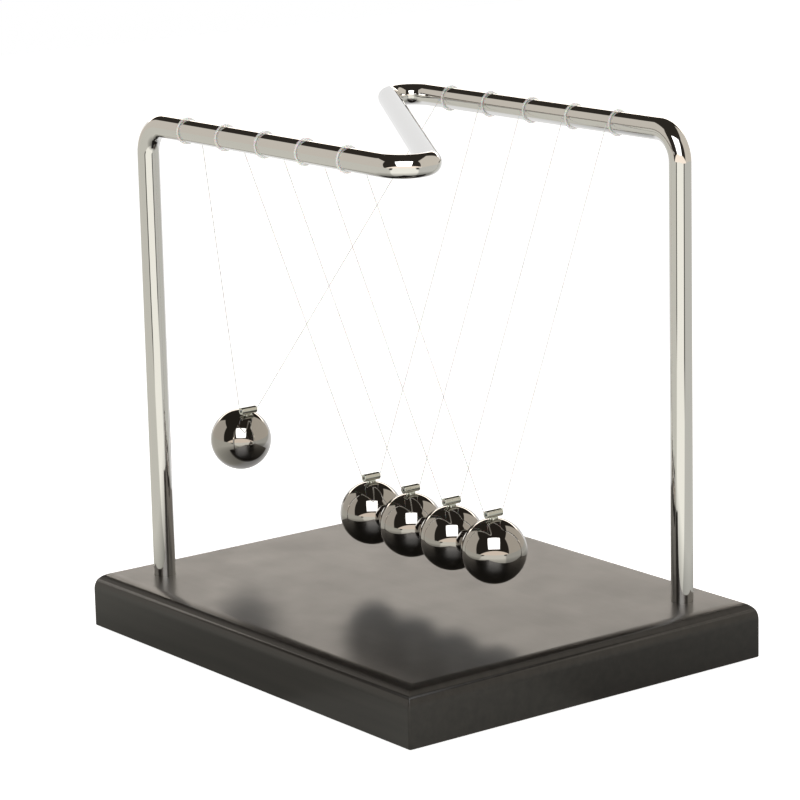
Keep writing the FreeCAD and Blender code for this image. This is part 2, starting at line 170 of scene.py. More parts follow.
def lacquered_wood():
    """Board of fine-grained wood, stained black and sprayed with satin lacquer.

    The lacquer gives broad soft reflections, and the grain shows through it only as faint streaks.
    """
    material, tree = new_material("black_satin_lacquered_wood")
    place = add_node(tree, "ShaderNodeTexCoord").outputs["Object"]
    # grain lines about 3 mm apart and 80 mm long, along the board
    stretched = add_node(tree, "ShaderNodeMapping", {"Vector": place, "Scale": (12, 330, 330)})
    grain = add_node(tree, "ShaderNodeTexNoise", {"Vector": stretched.outputs[0], "Scale": 1.0, "Detail": 5.0,
                                                  "Roughness": 0.6})
    tone = add_node(tree, "ShaderNodeMapRange", {"Value": grain.outputs["Fac"], "From Min": 0.35,
                                                 "From Max": 0.7})
    colour = add_node(tree, "ShaderNodeMix", {"Factor": tone.outputs[0], "A": linear("#171512"),
                                              "B": linear("#24211e")}, data_type="RGBA")
    # lacquer's own slight unevenness, in patches about 12 mm across
    patch = add_node(tree, "ShaderNodeTexNoise", {"Vector": place, "Scale": 80.0, "Detail": 3.0})
    sheen = add_node(tree, "ShaderNodeMapRange", {"Value": patch.outputs["Fac"], "From Min": 0.3,
                                                  "From Max": 0.7, "To Min": 0.285, "To Max": 0.33})
    relief = add_node(tree, "ShaderNodeBump", {"Height": grain.outputs["Fac"], "Strength": 0.12,
                                               "Distance": 0.05 * MM})
    # sprayed surface: a fine orange peel of about 0.5 mm
    peel = add_node(tree, "ShaderNodeTexNoise", {"Vector": place, "Scale": 2000.0, "Detail": 2.0})
    skin = add_node(tree, "ShaderNodeBump", {"Height": peel.outputs["Fac"], "Strength": 0.01,
                                             "Distance": 0.05 * MM, "Normal": relief.outputs[0]})
    shader = add_node(tree, "ShaderNodeBsdfPrincipled", {
        "Base Color": colour.outputs["Result"], "Roughness": 0.5, "Specular IOR Level": 0.1,
        "Normal": relief.outputs[0],
        "Coat Weight": 1.0, "Coat Roughness": sheen.outputs[0], "Coat IOR": 1.5,
        "Coat Normal": skin.outputs[0]})
    add_node(tree, "ShaderNodeOutputMaterial", {"Surface": shader.outputs[0]})
    return material


def pressed_felt():
    """Pressed black wool felt: matt, with a short fuzz of fibres about 0.4 mm apart."""
    material, tree = new_material("pressed_wool_felt")
    place = add_node(tree, "ShaderNodeTexCoord").outputs["Object"]
    fibre = add_node(tree, "ShaderNodeTexNoise", {"Vector": place, "Scale": 2500.0, "Detail": 6.0,
                                                  "Roughness": 0.7, "Distortion": 1.5})
    colour = add_node(tree, "ShaderNodeMix", {"Factor": fibre.outputs["Fac"], "A": linear("#141315"),
                                              "B": linear("#3a383b")}, data_type="RGBA")
    relief = add_node(tree, "ShaderNodeBump", {"Height": fibre.outputs["Fac"], "Strength": 0.6,
                                               "Distance": 0.2 * MM})
    shader = add_node(tree, "ShaderNodeBsdfPrincipled", {
        "Base Color": colour.outputs["Result"], "Roughness": 0.95, "Sheen Weight": 0.4,
        "Sheen Roughness": 0.5, "Normal": relief.outputs[0]})
    add_node(tree, "ShaderNodeOutputMaterial", {"Surface": shader.outputs[0]})
    return material


def metal(name, colour, roughness, rougher, wave, wave_depth, fine, fine_depth, along=None):
    """A bare or plated metal: its reflection is bent by a slow wave and softened by fine polishing marks.

    wave and fine are the spacings of the two, in metres. along stretches the fine marks.
    """
    material, tree = new_material(name)
    coordinates = add_node(tree, "ShaderNodeTexCoord")
    place = coordinates.outputs["UV" if along else "Object"]
    slow = add_node(tree, "ShaderNodeTexNoise", {"Vector": coordinates.outputs["Object"], "Scale": 1 / wave,
                                                 "Detail": 1.0})
    marks_place = add_node(tree, "ShaderNodeMapping", {"Vector": place, "Scale": along or (1, 1, 1)})
    marks = add_node(tree, "ShaderNodeTexNoise", {"Vector": marks_place.outputs[0], "Scale": 1 / fine,
                                                  "Detail": 3.0, "Roughness": 0.6})
    bent = add_node(tree, "ShaderNodeBump", {"Height": slow.outputs["Fac"], "Strength": 1.0,
                                             "Distance": wave_depth})
    marked = add_node(tree, "ShaderNodeBump", {"Height": marks.outputs["Fac"], "Strength": 1.0,
                                               "Distance": fine_depth, "Normal": bent.outputs[0]})
    polish = add_node(tree, "ShaderNodeMapRange", {"Value": marks.outputs["Fac"], "From Min": 0.35,
                                                   "From Max": 0.7, "To Min": roughness, "To Max": rougher})
    shader = add_node(tree, "ShaderNodeBsdfPrincipled", {
        "Base Color": linear(colour), "Metallic": 1.0, "Roughness": polish.outputs[0],
        "Normal": marked.outputs[0]})
    add_node(tree, "ShaderNodeOutputMaterial", {"Surface": shader.outputs[0]})
    return material


def clear_plastic(name, colour, roughness, see_through, spacing):
    """Clear drawn plastic, a little milky: part of the light passes straight through it, and its surface is
    slightly uneven."""
    material, tree = new_material(name)
    place = add_node(tree, "ShaderNodeTexCoord").outputs["Object"]
    uneven = add_node(tree, "ShaderNodeTexNoise", {"Vector": place, "Scale": 1 / spacing, "Detail": 2.0})
    relief = add_node(tree, "ShaderNodeBump", {"Height": uneven.outputs["Fac"], "Strength": 0.2,
                                               "Distance": 0.02 * MM})
    cloud = add_node(tree, "ShaderNodeMix", {"Factor": uneven.outputs["Fac"], "A": linear(colour),
                                             "B": linear("#fbfbfb")}, data_type="RGBA")
    shader = add_node(tree, "ShaderNodeBsdfPrincipled", {
        "Base Color": cloud.outputs["Result"], "Roughness": roughness, "IOR": 1.5,
        "Subsurface Weight": 0.3, "Subsurface Scale": 0.5 * MM, "Alpha": 1 - see_through,
        "Normal": relief.outputs[0]})
    add_node(tree, "ShaderNodeOutputMaterial", {"Surface": shader.outputs[0]})
    return material


WOOD = lacquered_wood()
FELT = pressed_felt()
# Mild steel rod, polished and chromium plated: a cool mirror with long faint polishing streaks
CHROME = metal("polished_chromium_plate", "#dddcda", roughness=0.02, rougher=0.06, wave=9 * MM,
               wave_depth=0.003 * MM, fine=0.5 * MM, fine_depth=0.00015 * MM, along=(0.03, 1, 1))
# Hardened bearing-steel balls, lapped and polished: a slightly darker mirror, with hardly any wave
STEEL = metal("lapped_bearing_steel", "#b2afab", roughness=0.015, rougher=0.04, wave=14 * MM,
              wave_depth=0.001 * MM, fine=1.2 * MM, fine_depth=0.0001 * MM)
# Small turned fittings, nickel plated: a softer shine
NICKEL = metal("bright_nickel_plate", "#cfd1c9", roughness=0.08, rougher=0.18, wave=2 * MM,
               wave_depth=0.003 * MM, fine=0.3 * MM, fine_depth=0.001 * MM)
# Rolled screws and stamped washers, plated with bright zinc: a dull bluish shine
ZINC = metal("bright_zinc_plated_steel", "#a9abae", roughness=0.25, rougher=0.4, wave=3 * MM,
             wave_depth=0.004 * MM, fine=0.4 * MM, fine_depth=0.003 * MM)
# Soft clear vinyl, moulded into small rings
CLEAR_VINYL = clear_plastic("clear_vinyl_ring", "#d6d8d6", roughness=0.2, see_through=0.5, spacing=1.5 * MM)
# Nylon drawn into one clear filament
NYLON = clear_plastic("clear_nylon_monofilament", "#b4b4b2", roughness=0.25, see_through=0.5,
                      spacing=0.6 * MM)


# ---------------------------------------------------------------- Mesh helpers


def round_corners(corners, radii, steps=8, hold=0.04 * MM):
    """A path through corners, each turned into an arc of its own radius. A radius of 0 keeps the corner.

    An arc touches both of its sides: it starts and ends at radius x tan(half the turn) from the corner. A
    point just outside each end, by the length hold, keeps the flat beside it flat.
    """
    corners = np.asarray(corners, float)
    count = len(corners)
    made = []
    for i, radius in enumerate(radii):
        if not radius:
            made.append(corners[i][None])
            continue
        before = corners[i - 1] - corners[i]
        after = corners[(i + 1) % count] - corners[i]
        before = before / np.linalg.norm(before)
        after = after / np.linalg.norm(after)
        half_turn = (math.pi - math.acos(float(before @ after))) / 2
        reach = radius * math.tan(half_turn)
        centre_way = (before + after) / np.linalg.norm(before + after)
        centre = corners[i] + centre_way * radius / math.cos(half_turn)
        angle = np.linspace(-half_turn, half_turn, steps)[:, None]
        along = (after - before) / np.linalg.norm(after - before)
        arc = centre + radius * (np.sin(angle) * along - np.cos(angle) * centre_way)
        start, end = corners[i] + before * (reach + hold), corners[i] + after * (reach + hold)
        made += [start[None], arc, end[None]]
    return np.vstack(made)


def faces_of(rows, columns, wrap):
    """Quads of a grid whose columns run round. wrap also joins the last row to the first."""
    index = np.arange(rows * columns).reshape(rows, columns)
    here = index if wrap else index[:-1]
    there = np.roll(index, -1, axis=0) if wrap else index[1:]
    quads = np.stack([here, np.roll(here, -1, axis=1), np.roll(there, -1, axis=1), there], axis=-1)
    return quads.reshape(-1, 4).tolist()


def shell(points, wrap=False):
    """Points and faces of a closed skin over a rows x columns grid of points.

    Without wrap, a fan to its own middle closes the first row and the last one.
    """
    rows, columns, _ = points.shape
    flat = points.reshape(-1, 3)
    faces = faces_of(rows, columns, wrap)
    if not wrap:
        first, last = rows * columns, rows * columns + 1
        flat = np.vstack([flat, points[0].mean(0), points[-1].mean(0)])
        ring = np.arange(columns)
        after = np.roll(ring, -1)
        faces += np.stack([np.full(columns, first), after, ring], axis=-1).tolist()
        ring, after = ring + (rows - 1) * columns, after + (rows - 1) * columns
        faces += np.stack([np.full(columns, last), ring, after], axis=-1).tolist()
    return flat, faces


def make_piece(name, shells, material, body, nodes=()):
    """One object from one or more closed skins. It rides on a body and stands for the nodes named."""
    points, faces, start = [], [], 0
    for skin_points, skin_faces in shells:
        points.append(skin_points)
        faces += [[corner + start for corner in face] for face in skin_faces]
        start += len(skin_points)
    mesh = bpy.data.meshes.new(name)
    mesh.from_pydata(np.vstack(points).tolist(), [], faces)
    return finish_piece(name, mesh, material, body, nodes)


def finish_piece(name, mesh, material, body, nodes):
    """Shades a mesh and makes it an object, with its body and the nodes it stands for."""
    mesh.shade_smooth()
    mesh.set_sharp_from_angle(angle=SHARP_ANGLE)
    mesh.materials.clear()
    mesh.materials.append(material)
    piece = bpy.data.objects.new(name, mesh)
    bpy.context.collection.objects.link(piece)
    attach(piece, body)
    if nodes:
        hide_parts(*nodes)
    return piece


def revolve(profile, columns, axis="z"):
    """A profile of (radius, height) turned about Z or Y: each point becomes a circle at its height."""
    angle = np.linspace(0, 2 * math.pi, columns, endpoint=False)
    radius, height = profile[:, :1], profile[:, 1:]
    level = height + 0 * angle
    if axis == "z":
        return np.stack([radius * np.cos(angle), radius * np.sin(angle), level], axis=-1)
    return np.stack([radius * np.sin(angle), level, radius * np.cos(angle)], axis=-1)


def directions(path):
    """The unit direction of a path at each of its points."""
    tangent = np.gradient(path, axis=0)
    return tangent / np.linalg.norm(tangent, axis=1)[:, None]


def sweep(path, radius, columns):
    """A round tube along a path: at each point, a circle square to the path's direction.

    The circle's own zero is carried from point to point without twist.
    """
    tangent = directions(path)
    side = np.cross(tangent[0], [0.3, 0.9, 0.2])
    sides = []
    for way in tangent:
        side = side - way * (side @ way)
        side = side / np.linalg.norm(side)
        sides.append(side)
    sides = np.array(sides)[:, None]
    across = np.cross(tangent, sides[:, 0])[:, None]
    angle = np.linspace(0, 2 * math.pi, columns, endpoint=False)[None, :, None]
    return path[:, None] + radius * (np.cos(angle) * sides + np.sin(angle) * across)


# ---------------------------------------------------------------- Block and felt


def rounded_slab(half_x, half_y, corner_radius, profile):
    """A rectangle with round corners, carried along a profile of (inset, height).

    The inset shrinks both half-sides and the corner's radius, which stops at nothing.
    """
    quarter = np.linspace(0, math.pi / 2, 13)
    rings = []
    for inset, height in profile:
        radius = max(corner_radius - inset, 0.0)
        x, y = half_x - inset - radius, half_y - inset - radius
        ring = []
        for turn, (sign_x, sign_y) in enumerate(((1, 1), (-1, 1), (-1, -1), (1, -1))):
            angle = quarter + turn * math.pi / 2
            ring.append(np.stack([sign_x * x + radius * np.cos(angle), sign_y * y + radius * np.sin(angle),
                                  np.full(len(quarter), height)], axis=-1))
        rings.append(np.vstack(ring))
    return np.array(rings)


def cut_away(mesh, cutters):
    """The mesh with every cutter's shape taken away from it."""
    block = bpy.data.objects.new("uncut", mesh)
    bpy.context.collection.objects.link(block)
    tools = []
    for points, faces in cutters:
        tool_mesh = bpy.data.meshes.new("cutter")
        tool_mesh.from_pydata(points.tolist(), [], faces)
        tool = bpy.data.objects.new("cutter", tool_mesh)
        bpy.context.collection.objects.link(tool)
        modifier = block.modifiers.new("cut", "BOOLEAN")
        modifier.operation = "DIFFERENCE"
        modifier.object = tool
        tools.append(tool)
    graph = bpy.context.evaluated_depsgraph_get()
    made = bpy.data.meshes.new_from_object(block.evaluated_get(graph))
    for thing in tools + [block]:
        bpy.data.objects.remove(thing)
    return made


def straight_hole(x, y, radius, low, high):
    """A cylinder to cut a hole with, upright at x, y, from low to high."""
    profile = np.array([[radius, low], [radius, high]])
    points, faces = shell(revolve(profile, 64))
    return points + [x, y, 0], faces


def make_block():
    """The block: flat sides, a wide round at the top edge, a small one at the bottom, and its drilled holes.

    Under each post's hole is the screw's, and under that the washer's recess.
    """
    low, high = BLOCK_LOW.z, BLOCK_HIGH.z
    inset, outside, overlap = 30 * MM, 5 * MM, 1 * MM
    corners = [(inset, low), (0, low), (0, high), (inset, high)]
    profile = round_corners(corners, [0, BOTTOM_ROUND, TOP_ROUND, 0], steps=14)
    points, faces = shell(rounded_slab(BLOCK_HIGH.x, BLOCK_HIGH.y, SIDE_ROUND, profile))
    mesh = bpy.data.meshes.new("base_block_piece")
    mesh.from_pydata(points.tolist(), [], faces)
    cutters = []
    for sign in (-1, 1):
        x, y = sign * POST_X, sign * RAIL_Y
        cutters += [straight_hole(x, y, POST_HOLE_RADIUS, ROD_FOOT, high + outside),
                    straight_hole(x, y, SCREW_HOLE_RADIUS, low - outside, ROD_FOOT + overlap),
                    straight_hole(x, y, RECESS_RADIUS, low - outside, low + RECESS_DEPTH)]
    mesh = cut_away(mesh, cutters)
    return finish_piece("wood_block", mesh, WOOD, "frame", ["base_block"])


def make_felt():
    """The felt: a thin slab with its cut edge a little rounded."""
    inset, lower_round, upper_round = 20 * MM, 0.25 * MM, 0.1 * MM
    corners = [(inset, FELT_LOW.z), (0, FELT_LOW.z), (0, FELT_HIGH.z), (inset, FELT_HIGH.z)]
    profile = round_corners(corners, [0, lower_round, upper_round, 0], steps=6)
    skin = shell(rounded_slab(FELT_HIGH.x, FELT_HIGH.y, FELT_ROUND, profile))
    felt = make_piece("felt_underside", [skin], FELT, "frame", ["base_felt"])
    return felt


# ---------------------------------------------------------------- Rod and rings


def rod_route():
    """Points along the rod's axis: post, bend, rail, turn, diagonal, and then the same turned half round.

    The diagonal passes through the middle and touches both tight turns, so it leaves a turn at the angle of
    its middle, less asin(turn radius / distance to its middle).
    """
    turn_x, turn_y = POST_X - TURN_INSET, RAIL_Y - TURN_RADIUS
    slope = math.atan2(turn_y, turn_x) - math.asin(TURN_RADIUS / math.hypot(turn_x, turn_y))
    bend_x, bend_z = POST_X - BEND_RADIUS, RAIL_Z - BEND_RADIUS

    def straight(start, end, count):
        """Evenly spaced points from start to end."""
        share = np.linspace(0, 1, count)[:, None]
        return np.array(start) * (1 - share) + np.array(end) * share

    bend = np.linspace(0, math.pi / 2, 25)
    bend_points = np.stack([-bend_x - BEND_RADIUS * np.cos(bend), 0 * bend - RAIL_Y,
                            bend_z + BEND_RADIUS * np.sin(bend)], axis=-1)
    turn = np.linspace(-math.pi / 2, math.pi / 2 - slope, 41)
    turn_points = np.stack([turn_x + TURN_RADIUS * np.cos(turn), TURN_RADIUS * np.sin(turn) - turn_y,
                            0 * turn + RAIL_Z], axis=-1)
    half = np.vstack([
        straight((-POST_X, -RAIL_Y, ROD_FOOT), (-POST_X, -RAIL_Y, bend_z), 30)[:-1],
        bend_points[:-1],
        straight((-bend_x, -RAIL_Y, RAIL_Z), (turn_x, -RAIL_Y, RAIL_Z), 24)[:-1],
        turn_points,
        straight(turn_points[-1], (0, 0, RAIL_Z), 12)[1:]])
    other = half[-2::-1] * [-1, -1, 1]
    return np.vstack([half, other])


def add_length_map(piece, path, columns):
    """A UV map that runs along the rod and round it, both in metres, for marks that follow its length.

    A face over the seam, from the last column to the first, counts the first column as one turn on.
    """
    steps = np.linalg.norm(np.diff(path, axis=0), axis=1)
    along = np.concatenate([[0], np.cumsum(steps)])
    mesh = piece.data
    corner = np.zeros(len(mesh.loops), np.int64)
    mesh.loops.foreach_get("vertex_index", corner)
    row, column = np.divmod(corner, columns)
    row = np.minimum(row, len(along) - 1)
    first = np.zeros(len(mesh.polygons), np.int64)
    total = np.zeros(len(mesh.polygons), np.int64)
    mesh.polygons.foreach_get("loop_start", first)
    mesh.polygons.foreach_get("loop_total", total)
    at_last = np.repeat(np.maximum.reduceat(column, first) == columns - 1, total)
    seam = at_last & (column == 0) & (np.repeat(column[first], total) > 0)
    round_it = np.where(seam, columns, column) * 2 * math.pi * ROD_RADIUS / columns
    length_map = mesh.uv_layers.new(name="length")
    length_map.data.foreach_set("uv", np.stack([along[row], round_it], axis=-1).ravel())


def make_rod():
    """The rod, bent from one length: both posts, both rails and the diagonal between them."""
    path, columns = rod_route(), 72
    skin = shell(sweep(path, ROD_RADIUS, columns))
    rod = make_piece("bent_rod", [skin], CHROME, "frame", ["frame_rod"])
    add_length_map(rod, path, columns)
    return rod


def make_ring(side, number):
    """A clear ring round the rail: a round wire bent into a circle about the rail's axis.

    The wire's section has its middle at the ring's radius: radius + wire x cos(angle) out from the axis, and
    wire x sin(angle) along it.
    """
    around = np.linspace(0, 2 * math.pi, 24, endpoint=False)
    profile = np.stack([RING_RADIUS + RING_WIRE_RADIUS * np.cos(around), RING_WIRE_RADIUS * np.sin(around)],
                       axis=-1)
    y = -RAIL_Y if side == "front" else RAIL_Y
    # X and Z change places, and the rows are turned round so that the faces still look outward
    ring = revolve(profile, 64)[..., [2, 1, 0]][::-1] + [HANG_X[number], y, RAIL_Z]
    name = f"clear_ring_{side}_{number}"
    return make_piece(f"vinyl_{name}", [shell(ring, wrap=True)], CLEAR_VINYL, "frame",
                      [name])


# ---------------------------------------------------------------- Pendulums


def hang(points, number):
    """Turns points about the swing axis by the ball's angle from plumb, and carries them up to the rails.

    x becomes x cos(angle) + z sin(angle), and z becomes z cos(angle) - x sin(angle).
    """
    angle = DRAWN_BACK if number == 1 else 0.0
    x, y, z = np.moveaxis(np.asarray(points, float), -1, 0)
    turned = np.stack([x * math.cos(angle) + z * math.sin(angle), y,
                       z * math.cos(angle) - x * math.sin(angle)], axis=-1)
    return turned + [HANG_X[number], 0, RAIL_Z]


def make_ball(number):
    """A ball with the peg's hole in its top: the hole's floor and wall, its broken edge, and the sphere.

    On the sphere, the radius is ball radius x sin(polar angle) and the height is ball radius x cos(it).
    """
    edge_angle, edge_depth = 0.004, 0.04 * MM
    floor_middle, floor_height = 0.2 * MM, BALL_RADIUS - PEG_HOLE_DEPTH
    top_angle = math.asin(PEG_HOLE_RADIUS / BALL_RADIUS)
    polar = np.linspace(top_angle + edge_angle, math.pi, 110)[:-1]
    sphere = np.stack([BALL_RADIUS * np.sin(polar), BALL_RADIUS * np.cos(polar)], axis=-1)
    mouth = BALL_RADIUS * math.cos(top_angle) - edge_depth
    hole = [(floor_middle, floor_height), (PEG_HOLE_RADIUS, floor_height), (PEG_HOLE_RADIUS, mouth)]
    profile = np.vstack([hole, sphere])[::-1]
    points, faces = shell(revolve(profile, 128) - [0, 0, DROP])
    return make_piece(f"steel_ball_{number}", [(hang(points, number), faces)], STEEL,
                      f"pendulum_{number}", [f"ball_{number}"])


def web_shell():
    """The web under the barrel: a rounded bar that widens where it meets the ball and the barrel.

    Its outline is a superellipse of power 3. From foot to head the half-width is the waist's, plus a flare
    that grows with the fourth power of the distance from the waist. The foot follows the ball's round.
    """
    waist_x, waist_y, most_flare = 0.55 * MM, 1.75 * MM, 0.45 * MM
    foot_sink, head_drop = 0.05 * MM, 0.55 * MM
    share = np.linspace(0, 1, 15)[:, None]
    angle = np.linspace(0, 2 * math.pi, 48, endpoint=False)[None]
    flare = most_flare * (2 * share - 1) ** 4
    power = 2 / 3
    x = (waist_x + flare) * np.sign(np.cos(angle)) * np.abs(np.cos(angle)) ** power
    y = (waist_y + flare) * np.sign(np.sin(angle)) * np.abs(np.sin(angle)) ** power
    foot = np.sqrt(BALL_RADIUS ** 2 - x ** 2 - y ** 2) - DROP - foot_sink
    head = BARREL_Z - head_drop
    return shell(np.stack([x, y, foot + (head - foot) * share], axis=-1))


def make_hanger(number):
    """A bored barrel along Y with broken edges, its web, and the peg that goes down into the ball."""
    end = BARREL_LENGTH / 2
    bore_edge, rim_edge, peg_edge = 0.12 * MM, 0.2 * MM, 0.2 * MM
    peg_middle, peg_rise = 0.1 * MM, 0.3 * MM
    corners = [(BORE_RADIUS, -end), (BARREL_RADIUS, -end), (BARREL_RADIUS, end), (BORE_RADIUS, end)]
    profile = round_corners(corners, [bore_edge, rim_edge, rim_edge, bore_edge], steps=7)
    barrel_points, barrel_faces = shell(revolve(profile, 56, axis="y"), wrap=True)
    barrel_points = barrel_points + [0, 0, BARREL_Z]
    top = -DROP + BALL_RADIUS
    peg = round_corners([(peg_middle, top - PEG_LENGTH), (PEG_RADIUS, top - PEG_LENGTH),
                         (PEG_RADIUS, top + peg_rise)], [0, peg_edge, 0], steps=5)
    skins = [(barrel_points, barrel_faces), web_shell(), shell(revolve(peg, 40))]
    skins = [(hang(points, number), faces) for points, faces in skins]
    return make_piece(f"nickel_hanger_{number}", skins, NICKEL, f"pendulum_{number}",
                      [f"hanger_{number}"])


def line_points():
    """The line's control points: from a knot to just short of the barrel, round, through and back."""
    end = BARREL_LENGTH / 2
    corner_out, up_the_line, inside = 0.55 * MM, 1.8 * MM, 0.7 * MM
    corner = np.array([end + corner_out, LINE_Z])
    knot = np.array([KNOT_Y, 0.0])
    up = (knot - corner) / np.linalg.norm(knot - corner)
    half = [knot, corner + up * up_the_line, corner, np.array([end - inside, LINE_Z])]
    return [(0, -y, z) for y, z in half] + [(0, y, z) for y, z in half[::-1]]


def make_knot(name, number, sign):
    """A knot: a short coil of the line wound about the swing axis, touching turn to turn.

    At angle t the coil's middle is at radius x (cos t, sin t) across, and (t / last t - 1/2) x length from
    the knot's middle along the axis.
    """
    turns, radius, length = 2.1, 0.29 * MM, 0.66 * MM
    angle = np.linspace(0, turns * 2 * math.pi, 76)
    along = sign * KNOT_Y + (angle / angle[-1] - 0.5) * length
    path = np.stack([radius * np.cos(angle), along, radius * np.sin(angle)], axis=-1)
    points, faces = shell(sweep(path, LINE_RADIUS, 12))
    return make_piece(name, [(hang(points, number), faces)], NYLON, f"pendulum_{number}")


def make_line(number):
    """The nylon line, one smooth curve from knot to knot, with a knot wound at each end."""
    curve = bpy.data.curves.new(f"nylon_line_{number}", "CURVE")
    curve.dimensions = "3D"
    curve.bevel_depth = LINE_RADIUS
    curve.bevel_resolution = 3
    curve.resolution_u = 8
    curve.use_fill_caps = True
    route = hang(line_points(), number)
    spline = curve.splines.new("NURBS")
    spline.points.add(len(route) - 1)
    spline.points.foreach_set("co", np.hstack([route, np.ones((len(route), 1))]).ravel())
    spline.order_u = 3
    spline.use_endpoint_u = True
    curve.materials.append(NYLON)
    line = bpy.data.objects.new(f"nylon_line_{number}", curve)
    bpy.context.collection.objects.link(line)
    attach(line, f"pendulum_{number}")
    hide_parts(f"line_{number}")
    knots = [make_knot(f"nylon_knot_{side}_{number}", number, sign)
             for side, sign in (("front", -1), ("rear", 1))]
    return line


for number in BALLS:
    make_line(number)
make_block()
make_felt()
make_rod()
for number in BALLS:
    make_ring("front", number)
    make_ring("rear", number)
    make_ball(number)
    make_hanger(number)
# The screws and washers are the CAD's own, plated with zinc
for name in ("frame_screws", "frame_washers"):
    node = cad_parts[name]
    node.data.materials.clear()
    node.data.materials.append(ZINC)


# ---------------------------------------------------------------- Room and light


def direction_parts(tree, way):
    """For a direction, in radians: turn, the angle round from the front with the right side positive, and
    rise, the angle up."""
    front = add_node(tree, "ShaderNodeVectorMath", {0: way, 1: CAMERA_SIDE}, operation="DOT_PRODUCT")
    right = add_node(tree, "ShaderNodeVectorMath", {0: way, 1: CAMERA_RIGHT}, operation="DOT_PRODUCT")
    turn = add_node(tree, "ShaderNodeMath", {0: right.outputs["Value"], 1: front.outputs["Value"]},
                    operation="ARCTAN2").outputs[0]
    height = add_node(tree, "ShaderNodeSeparateXYZ", {0: way}).outputs["Z"]
    return turn, add_node(tree, "ShaderNodeMath", {0: height}, operation="ARCSINE").outputs[0]


def above(tree, value, edge, soft):
    """0 below an edge and 1 above it, in degrees, with a soft change between."""
    return add_node(tree, "ShaderNodeMapRange", {
        "Value": value, "From Min": math.radians(edge - soft), "From Max": math.radians(edge + soft)},
        interpolation_type="SMOOTHSTEP").outputs[0]


def below(tree, value, edge, soft):
    """1 below an edge and 0 above it, in degrees, with a soft change between."""
    return add_node(tree, "ShaderNodeMath", {0: 1.0, 1: above(tree, value, edge, soft)},
                    operation="SUBTRACT").outputs[0]


def both(tree, first, second):
    """The product of two covers."""
    return add_node(tree, "ShaderNodeMath", {0: first, 1: second}, operation="MULTIPLY").outputs[0]


def layer(tree, under, colour, strength, cover):
    """A colour of light laid over another where the cover is 1."""
    light = tuple(part * strength for part in linear(colour)[:3]) + (1,)
    return add_node(tree, "ShaderNodeMix", {"Factor": cover, "A": under, "B": light},
                    data_type="RGBA").outputs["Result"]


def size_of(tree, value):
    """A value without its sign."""
    return add_node(tree, "ShaderNodeMath", {0: value}, operation="ABSOLUTE").outputs[0]


def make_floor():
    """A wide pale table top. Seen directly it is near white.

    In reflections it glows with painted light of the cards round it: white in front and behind, warm grey on
    the left, and a cooler grey on the right. Farther out there are painted dark seams where two lights meet,
    and near the base painted shade makes it dimmer. From underneath it can't be seen.
    """
    reach, level = 1.6, -0.05 * MM
    material, tree = new_material("pale_table_top")
    path = add_node(tree, "ShaderNodeLightPath")
    seen = add_node(tree, "ShaderNodeBsdfDiffuse", {"Color": linear("#f4f4f4")})
    glow = add_node(tree, "ShaderNodeEmission", {"Color": (1, 1, 1, 1), "Strength": 0.97})
    bright = add_node(tree, "ShaderNodeAddShader", {0: seen.outputs[0], 1: glow.outputs[0]})
    place = add_node(tree, "ShaderNodeTexCoord").outputs["Object"]
    outward = add_node(tree, "ShaderNodeVectorMath", {0: place}, operation="NORMALIZE").outputs[0]
    turn = direction_parts(tree, outward)[0]
    aside = size_of(tree, turn)
    distance = add_node(tree, "ShaderNodeVectorMath", {0: place}, operation="LENGTH").outputs["Value"]

    def between(near, far, low):
        """low up to the near distance, and from there up to 1 at the far one."""
        return add_node(tree, "ShaderNodeMapRange", {"Value": distance, "From Min": near, "From Max": far,
                                                     "To Min": low, "To Max": 1.0}).outputs[0]

    # painted shade: dark seams in the floor's glow where two lights meet
    seam = both(tree, above(tree, aside, 33, 2), below(tree, aside, 42, 2))
    # painted light: the cards' colours laid into the floor's glow
    light = layer(tree, linear("#fbf9ef"), "#d9d7cd", 0.85, below(tree, turn, -37, 3))
    light = layer(tree, light, "#d1d0c9", 0.85, above(tree, turn, 38, 3))
    light = layer(tree, light, "#4c4a46", 0.85, both(tree, seam, between(near=0.42, far=0.55, low=0.0)))
    light = layer(tree, light, "#fafafa", 0.83, above(tree, aside, 142, 5))
    # painted shade: the floor's glow is dimmer near the base, standing in for its contact shadow
    painted_base_shade = between(near=0.1, far=0.22, low=0.4)
    light = add_node(tree, "ShaderNodeVectorMath", {0: light, "Scale": painted_base_shade}, operation="SCALE").outputs[0]
    # the floor seen in reflections is an emission of painted light and shade, not a lit surface
    painted_floor_glow = add_node(tree, "ShaderNodeEmission", {"Color": light, "Strength": 1.18})
    mixed = add_node(tree, "ShaderNodeMixShader", {0: path.outputs["Is Camera Ray"], 1: painted_floor_glow.outputs[0],
                                                   2: bright.outputs[0]})
    clear = add_node(tree, "ShaderNodeBsdfTransparent")
    facing = add_node(tree, "ShaderNodeNewGeometry").outputs["Backfacing"]
    whole = add_node(tree, "ShaderNodeMixShader", {0: facing, 1: mixed.outputs[0], 2: clear.outputs[0]})
    add_node(tree, "ShaderNodeOutputMaterial", {"Surface": whole.outputs[0]})
    mesh = bpy.data.meshes.new("table_top")
    corners = [(x * reach, y * reach, level) for x, y in ((-1, -1), (1, -1), (1, 1), (-1, 1))]
    mesh.from_pydata(corners, [], [(0, 1, 2, 3)])
    mesh.materials.append(material)
    floor = bpy.data.objects.new("table_top", mesh)
    bpy.context.collection.objects.link(floor)


